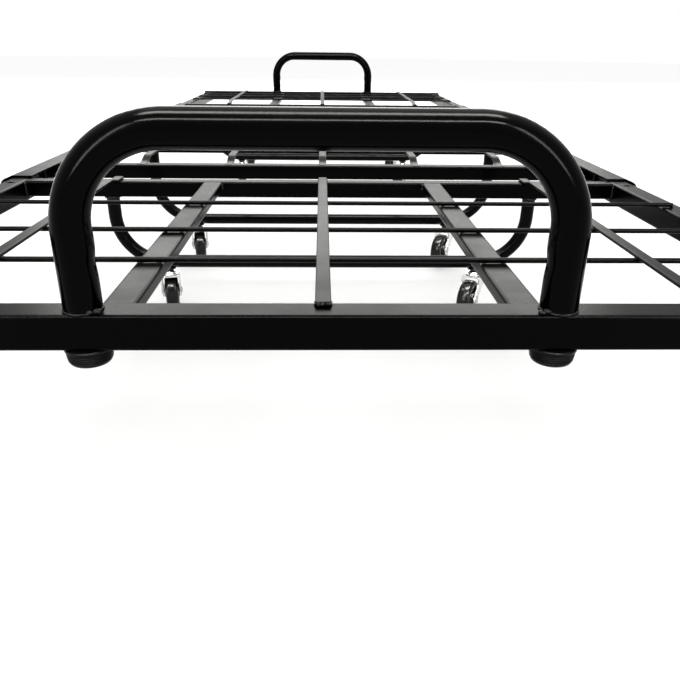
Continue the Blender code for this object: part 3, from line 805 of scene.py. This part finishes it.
def wire_seat_welds(form, end, level):
    """Welds where the wires of an end section cross its inner and side rails."""
    side = ENDS[end]
    for hand in HANDS:
        inner = box_of(f"inner_rail_{end}_{hand}")
        outer = box_of(f"side_rail_{end}_{hand}")
        for setback in END_WIRE_SETBACKS:
            y = side * (HALF_LENGTH - setback)
            for x in (inner[0].x + 0.004, inner[1].x - 0.004, outer[2].x):
                for way in (-1, 1):
                    place = (x, y + way * 0.0012, level)
                    dab(form, place, (0.0014, 0.0008, 0.0006), f"{x}{setback}{way}")


def centre_deck():
    """The wires, strips and flat bearers of the centre section."""
    node = "deck_grid_centre"
    low, high, _ = box_of(node)
    level = FLANGE_TOP + GAP
    raised = level + WIRE_DIAMETER - WELD_SINK
    rail_level = DECK_TOP + GAP
    inner_face = CROSS_RAIL_Y - MID_RAIL_SIZE / 2
    places = [inner_face * (2 * step / WIRE_SPACES - 1) for step in range(1, WIRE_SPACES)]
    places = [y for y in places if abs(abs(y) - BEARER_Y) > BEARER_WIDTH]
    form, welds = Form(), Form()
    for y in places:
        wire(form, y, level, high.x)
        for sign in (-1, 1):
            for way in (-1, 1):
                place = (sign * (high.x - 0.006), y + way * 0.0015, level + 0.0003)
                dab(welds, place, (0.0022, 0.0010, 0.0009), f"{y}{sign}{way}")
    for side in (-1, 1):
        bearer(form, welds, side * BEARER_Y, level, high.x)
    offsets = (-STRIP_OFFSET, -INNER_STRIP_OFFSET, 0.0, INNER_STRIP_OFFSET, STRIP_OFFSET)
    for x in offsets:
        path = strip_path(low.y, high.y, raised, rail_level, rail_level, MID_RAIL_SIZE)
        flat_strip(form, x, path)
        for y in (*places, -BEARER_Y, BEARER_Y):
            crossing_welds(welds, x, y, level + WIRE_DIAMETER / 2)
        strip_end_weld(welds, x, low.y, 1, rail_level)
        strip_end_weld(welds, x, high.y, -1, rail_level)
    settle(form.made("finished_deck_grid_centre", DECK_COAT), "centre_section", "deck_coat", node)
    settle(welds.made("deck_welds_centre", WELD_COAT), "centre_section", "deck_coat")


def bearer(form, welds, y, level, half_length):
    """A flat bar across the angles, over a centre leg."""
    outline = corner_points(BEARER_WIDTH, WIRE_DIAMETER, 0.0009, 4)
    tip = corner_points(BEARER_WIDTH - 0.001, WIRE_DIAMETER - 0.001, 0.0006, 4)
    z = level + WIRE_DIAMETER / 2
    stations = ((-half_length, tip), (-half_length + 0.0005, outline),
                (half_length - 0.0005, outline), (half_length, tip))
    form.skin([[(x, y + u, z + v) for u, v in shape] for x, shape in stations])
    for sign in (-1, 1):
        for way in (-1, 1):
            start = sign * (half_length - 0.012)
            edge = y + way * BEARER_WIDTH / 2
            bead(welds, [(start, edge, level), (sign * half_length, edge, level)], 0.0026,
                 f"bearer{y}{sign}{way}")


# ---------------------------------------------------------------- legs and frame welds

def u_leg(node, body):
    """A U-shaped leg of round tube."""
    low, high, middle = box_of(node)
    tube = high.y - low.y
    spacing = high.x - low.x - tube
    path = u_path(spacing, LEG_BEND, high.z, low.z + tube / 2, middle.y)
    form = Form()
    round_bar(form, path, tube, 32)
    settle(form.made(f"finished_{node}", LEG_COAT), body, "leg_coat", node)
    collars = Form()
    for sign in (-1, 1):
        top = (sign * spacing / 2, middle.y, high.z - 0.0008)
        bead(collars, circle(top, tube / 2 + 0.0004), 0.0030, f"{node}{sign}", closed=True)
    settle(collars.made(f"{node}_welds", WELD_COAT), body, "leg_coat")


def hoop_welds(end):
    """The bead round each foot of a hoop, thicker where it was started."""
    low, high, middle = box_of(f"hoop_{end}")
    tube = high.y - low.y
    form = Form()
    for sign in (-1, 1):
        base = Vector((sign * ((high.x - low.x - tube) / 2), middle.y, low.z + 0.0003))
        bead(form, circle(base, tube / 2 - 0.0001), 0.0016, f"hoop{end}{sign}", closed=True)
        lump = base + Vector((0.0105 if sign < 0 else -0.0095, -0.0075, 0.0008))
        dab(form, lump, (0.0030, 0.0022, 0.0018), f"lump{end}{sign}")
        dab(form, lump + Vector((-0.0038, -0.0014, 0)), (0.0026, 0.0020, 0.0015), f"{end}{sign}")
    settle(form.made(f"hoop_welds_{end}", WELD_COAT), f"{end}_section", "rail_coat")


def end_section_welds(end):
    """Beads where the tubes of an end section meet."""
    side, form = ENDS[end], Form()
    inside = side * (HALF_LENGTH - (END_RAIL_TOP - box_of(f"end_rail_{end}")[0].z))
    for hand, sign in HANDS.items():
        low, high, _ = box_of(f"side_rail_{end}_{hand}")
        tee(form, low, high, inside, f"side{end}{hand}")
        low, high, _ = box_of(f"inner_rail_{end}_{hand}")
        tee(form, low, high, inside, f"inner{end}{hand}")
        mid_face = side * (MID_RAIL_Y + MID_RAIL_SIZE / 2)
        tee(form, low, high, mid_face, f"mid{end}{hand}")
        rail_low, rail_high, _ = box_of(f"mid_rail_{end}")
        tip = rail_high.x if sign > 0 else rail_low.x
        for face in (rail_low.y, rail_high.y):
            path = [(tip, face, rail_high.z - 0.001), (tip, face, rail_low.z + 0.001)]
            bead(form, path, 0.0032, f"corner{end}{hand}{face}")
        path = [(tip, rail_low.y + 0.001, rail_low.z), (tip, rail_high.y - 0.001, rail_low.z)]
        bead(form, path, 0.0032, f"under{end}{hand}")
    settle(form.made(f"frame_welds_{end}", WELD_COAT), f"{end}_section", "rail_coat")


def tee(form, low, high, face, seed):
    """Beads down both sides and under a rail that butts against a face."""
    for x in (low.x, high.x):
        path = [(x, face, high.z - 0.0015), (x, face, low.z + 0.0015)]
        bead(form, path, 0.0030, f"{seed}{x}")
    bead(form, [(low.x + 0.002, face, low.z), (high.x - 0.002, face, low.z)], 0.0030, seed)


def centre_section_welds():
    """Beads where the cross rails meet the side angles."""
    form = Form()
    for end in ENDS:
        low, high, _ = box_of(f"cross_rail_{end}")
        for x in (low.x, high.x):
            for y in (low.y, high.y):
                path = [(x, y, high.z - 0.002), (x, y, low.z + 0.001)]
                bead(form, path, 0.0034, f"cross{end}{x}{y}")
            bead(form, [(x, low.y, low.z), (x, high.y, low.z)], 0.0034, f"foot{end}{x}")
    settle(form.made("frame_welds_centre", WELD_COAT), "centre_section", "rail_coat")


# ---------------------------------------------------------------- bolts and casters

def hinge_bolt(end, hand):
    """A domed hinge rivet with its shank and inner collar."""
    sign, node = HANDS[hand], f"hinge_bolt_{end}_{hand}"
    low, high, middle = box_of(node)
    head = (high.z - low.z) / 2
    length = high.x - low.x
    dome = [(head * math.cos(math.radians(a)), -0.0036 + 0.0036 * math.sin(math.radians(a)))
            for a in range(84, 4, -8)]
    profile = [(0.0003, 0.0), *dome, (head, -0.0037), (head - 0.0003, -0.0040),
               (0.0037, -0.0040), (0.0037, 0.0030 - length), (0.0051, 0.0030 - length),
               (0.0055, 0.0026 - length), (0.0055, 0.0004 - length), (0.0051, -length),
               (0.0003, -length)]
    tip = high.x if sign > 0 else low.x
    form = Form()
    turned(form, profile, (tip, middle.y, middle.z), 40, "X" if sign > 0 else "-X")
    return settle(form.made(f"finished_{node}", ZINC), "centre_section", "zinc_plate", node)


def caster_place(place, hand):
    """A caster's own space, from its swivel axis at axle height, its trail and that height."""
    swivel, roll = JOINTS[f"swivel_{place}_{hand}"], JOINTS[f"roll_{place}_{hand}"]
    x, y, _ = swivel["pos_m"]
    across = Vector(roll["axis"])
    turn = math.atan2(across.y, across.x)
    trail = math.hypot(roll["pos_m"][0] - x, roll["pos_m"][1] - y)
    spot = Matrix.Translation((x, y, roll["pos_m"][2])) @ Matrix.Rotation(turn, 4, "Z")
    return spot, trail, roll["pos_m"][2]


def caster_stem(place, hand):
    """The two-step ball race of a caster, and its stem, welded under the leg."""
    node = f"caster_stem_{place}_{hand}"
    low, high, middle = box_of(node)
    race = (high.x - low.x) / 2
    base, top = low.z, high.z
    cup = [(0.0003, base), (race - 0.0006, base), (race, base + 0.0004), (race, base + 0.0015),
           (race - 0.0028, base + 0.0020), (race - 0.0032, base + 0.0034),
           (race - 0.0052, base + 0.0042), (0.0003, base + 0.0044)]
    form = Form()
    turned(form, rounded(cup, 0.0006, 3), (middle.x, middle.y, 0), 48)
    body = PLACES[place]
    settle(form.made(f"finished_{node}", ZINC), body, "zinc_plate", node)
    form = Form()
    stem = [(0.0003, base + 0.0042), (0.0050, base + 0.0042), (0.0053, base + 0.0056),
            (0.0062, top - 0.0010), (0.0078, top + 0.0004), (0.0003, top + 0.0004)]
    turned(form, rounded(stem, 0.0005, 3), (middle.x, middle.y, 0), 32)
    bead(form, circle((middle.x, middle.y, top - 0.0006), 0.0068, 24), 0.0030, node, closed=True)
    settle(form.made(f"{node}_weld", WELD_COAT), body, "leg_coat")


def fork_sheet(trail, axle_height):
    """Rows of points over a pressed fork: down one cheek, over the crown, down the other."""
    half = FORK_WIDTH / 2 - FORK_PLATE / 2
    top = CROWN_HEIGHT - axle_height - FORK_PLATE / 2
    bend, tip, long = 0.0032, CHEEK_TIP_RADIUS, CROWN_LENGTH / 2
    shoulder = top - CHEEK_SHOULDER
    heights = [-tip * math.cos(math.radians(a)) for a in range(6, 90, 12)]
    heights += [shoulder * step / 8 for step in range(9)] + [shoulder + 0.003]
    side = [(half, z) for z in heights]
    for step in range(7):
        c, s = compass(90 * step / 6)
        side.append((half - bend + bend * c, top - bend + bend * s))
    side += [(half - bend - 0.003, top), (0.0, top)]
    path = side + [(-x, z) for x, z in reversed(side[:-1])]
    rows = []
    for x, z in path:
        near, far = cheek_edges(z, trail, tip, long, shoulder)
        rows.append([(x, near + (far - near) * step / 10, z) for step in range(11)])
    return rows


def cheek_edges(z, trail, tip, long, shoulder):
    """Front and back edge of a cheek at a height above the axle."""
    if z >= shoulder:
        return -long, long
    share = max(z, 0.0) / shoulder
    ease = share * share * (3 - 2 * share)
    round_off = math.sqrt(max(tip * tip - min(z, 0.0) ** 2, 0.0))
    near = trail - round_off if z < 0 else (trail - tip) * (1 - share) - long * share
    far = trail + round_off if z < 0 else (trail + tip) * (1 - ease) + long * ease
    return near, far


def caster_fork(place, hand):
    """A pressed and plated fork, with the crown's rim and the riveted axle."""
    node = f"caster_fork_{place}_{hand}"
    spot, trail, axle_height = caster_place(place, hand)
    form = Form().sheet(fork_sheet(trail, axle_height)).moved(spot)
    fork = form.made(f"finished_{node}", ZINC)
    fork.modifiers.clear()
    plate = fork.modifiers.new("plate", "SOLIDIFY")
    plate.thickness = FORK_PLATE
    plate.offset = 0.0
    ease = fork.modifiers.new("eased_edges", "BEVEL")
    ease.width = 0.0005
    ease.segments = 3
    ease.angle_limit = math.radians(50)
    soften(fork)
    settle(fork, f"swivel_{place}_{hand}", "zinc_plate", node)
    axle = Form()
    cheek = FORK_WIDTH / 2
    rivet = [(0.0003, cheek + 0.0015), (0.0022, cheek + 0.0014), (0.0040, cheek + 0.0009),
             (0.0048, cheek + 0.0004), (0.0050, cheek), (0.0030, cheek - 0.0002)]
    profile = rivet + [(radius, -height) for radius, height in reversed(rivet)]
    turned(axle, profile, (0.0, trail, 0.0), 32, "X")
    axle.moved(spot)
    piece = axle.made(f"axle_{place}_{hand}", DULL_ZINC)
    settle(piece, f"swivel_{place}_{hand}", "zinc_plate")


def wheel_profile():
    """Half of a wheel's section, from the tread's middle to the bore."""
    half, rim = WHEEL_WIDTH / 2, WHEEL_RADIUS
    return [(rim, 0.0), (rim - 0.00015, half - 0.0042), (rim - 0.0008, half - 0.0022),
            (rim - 0.0022, half - 0.0008), (rim - 0.0042, half - 0.0002), (rim - 0.0052, half),
            (rim - 0.0062, half - 0.0002), (0.0178, half - 0.0012), (0.0172, half - 0.0034),
            (0.0160, half - 0.0040), (0.0112, half - 0.0036), (0.0100, half - 0.0028),
            (0.0092, half + 0.0006), (0.0086, half + 0.0012), (0.0042, half + 0.0012),
            (0.0034, half + 0.0006)]


def caster_wheel(place, hand):
    """A moulded wheel with rounded tread, dished web, ribs and raised hub."""
    node = f"caster_wheel_{place}_{hand}"
    spot, trail, _ = caster_place(place, hand)
    one_side = wheel_profile()
    profile = one_side + [(radius, -height) for radius, height in reversed(one_side[1:])]
    form = Form()
    turned(form, profile, (0, 0, 0), 72, "X", closed=True)
    for way in (-1, 1):
        for rib in range(6):
            wheel_rib(form, way, 60 * rib + 30)
    form.moved(spot @ Matrix.Translation((0.0, trail, 0.0)))
    piece = form.made(f"finished_{node}", WHEEL_PLASTIC)
    return settle(piece, f"wheel_{place}_{hand}", "wheel_plastic", node)


def wheel_rib(form, way, angle):
    """A low radial rib across the dished web of a wheel."""
    out = Vector((0, *compass(angle)))
    aside = Vector((0, *compass(angle + 90)))
    rings = []
    for radius, height in ((0.0098, 0.0016), (0.0100, 0.0010), (0.0172, 0.0018), (0.0174, 0.0024)):
        top = WHEEL_WIDTH / 2 - height
        floor = WHEEL_WIDTH / 2 - 0.0046
        ring = [out * radius + aside * w + Vector((way * x, 0, 0))
                for w, x in ((-0.0012, floor), (-0.0008, top - 0.0003), (-0.0005, top),
                             (0.0005, top), (0.0008, top - 0.0003), (0.0012, floor))]
        rings.append(ring)
    return form.skin(rings)


# ---------------------------------------------------------------- the whole frame

def build_bed():
    for end in ENDS:
        section = f"{end}_section"
        tube_piece(f"end_rail_{end}", section)
        tube_piece(f"mid_rail_{end}", section)
        tube_piece(f"cross_rail_{end}", "centre_section")
        end_plugs(end)
        hoop(end)
        hoop_welds(end)
        end_deck(end)
        end_section_welds(end)
        for hand in HANDS:
            side_rail(end, hand)
            tube_piece(f"inner_rail_{end}_{hand}", section)
            end_cap(end, hand)
            hinge_bolt(end, hand)
    for hand in HANDS:
        side_angle(hand)
    centre_deck()
    centre_section_welds()
    for place, body in PLACES.items():
        u_leg(f"leg_{place}", body)
        for hand in HANDS:
            caster_stem(place, hand)
            caster_fork(place, hand)
            caster_wheel(place, hand)


# ---------------------------------------------------------------- studio

LAMP_TINT = (1.0, 1.0, 0.96)


def studio_floor():
    """A plain pale floor with the faintest mottle."""
    paint = Finish("pale_floor", Specular_IOR_Level=0.0)
    place = paint.place()
    clouds = paint.noise(place, 1.5, 3.0)
    paint.set("Base Color", paint.blend(clouds, (0.95, 0.95, 0.95), (0.97, 0.97, 0.97)))
    paint.set("Roughness", clouds * 0.1 + 0.7)
    floor = Form().skin([circle((0, 0, 0), 14.0, 64), circle((0, 0, -0.02), 14.0, 64)])
    floor.made("studio_floor", paint.material)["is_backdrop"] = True


def softbox(name, place, target, size, strength, gloss_only=False):
    """A rectangular lamp of a given brightness, aimed at a point."""
    lamp = bpy.data.lights.new(name, "AREA")
    lamp.shape = "RECTANGLE"
    lamp.size, lamp.size_y = size
    lamp.energy = strength * math.pi * size[0] * size[1]
    lamp.color = LAMP_TINT
    item = bpy.data.objects.new(name, lamp)
    bpy.context.scene.collection.objects.link(item)
    item.location = place
    item.rotation_euler = (Vector(target) - Vector(place)).to_track_quat("-Z", "Y").to_euler()
    item.visible_diffuse = not gloss_only


def studio_light():
    """A pale surround, broad lamps overhead and behind, and strips that edge the round tubes."""
    world = bpy.data.worlds.new("surround")
    bpy.context.scene.world = world
    world.use_nodes = True
    surround = world.node_tree.nodes["Background"]
    surround.inputs["Color"].default_value = (1.0, 1.0, 1.0, 1.0)
    surround.inputs["Strength"].default_value = 1.0
    hoop_place = Vector((0.0, -HALF_LENGTH, 0.28))
    softbox("overhead", (0.0, 0.6, 3.2), (0.0, 0.0, 0.0), (3.0, 2.4), 1.6)
    softbox("behind", (0.0, 4.2, 2.3), (0.0, -0.4, 0.1), (5.0, 2.0), 5.5)
    above, ahead = hoop_place + Vector((0.0, 0.2, 2.2)), hoop_place + Vector((0.0, -1.3, 1.8))
    softbox("top_strip", above, hoop_place, (2.2, 0.5), 60.0, True)
    softbox("front_strip", ahead, hoop_place, (2.2, 0.14), 120.0, True)
    for side in (-1, 1):
        place = hoop_place + Vector((1.5 * side, -1.6, 0.9))
        softbox("side_strip", place, hoop_place, (0.25, 1.6), 35.0, True)
    bpy.context.scene.view_settings.view_transform = "Standard"


def camera():
    """The viewpoint: low in front of the foot end, looking down along the bed."""
    lens = bpy.data.cameras.new("viewpoint")
    lens.sensor_width = 36.0
    lens.lens = 34.85
    lens.clip_start = 0.01
    view = bpy.data.objects.new("viewpoint", lens)
    bpy.context.scene.collection.objects.link(view)
    yaw, pitch, roll = (math.radians(a) for a in (1.683, 24.42, -0.649))
    level = math.cos(pitch)
    forward = Vector((math.sin(yaw) * level, math.cos(yaw) * level, -math.sin(pitch)))
    right = Vector((math.cos(yaw), -math.sin(yaw), 0.0))
    up = right.cross(forward)
    across = math.cos(roll) * right - math.sin(roll) * up
    upward = math.sin(roll) * right + math.cos(roll) * up
    turn = Matrix((across, upward, -forward)).transposed()
    place = Vector((-0.0005, -HALF_LENGTH - 0.375, DECK_TOP + 0.1584))
    view.matrix_world = Matrix.Translation(place) @ turn.to_4x4()
    bpy.context.scene.camera = view


build_bed()
studio_floor()
studio_light()
camera()
boxes = {"cad": CAD_BOX, "visual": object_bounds()}
{name: [list(corner) for corner in box] for name, box in boxes.items()}
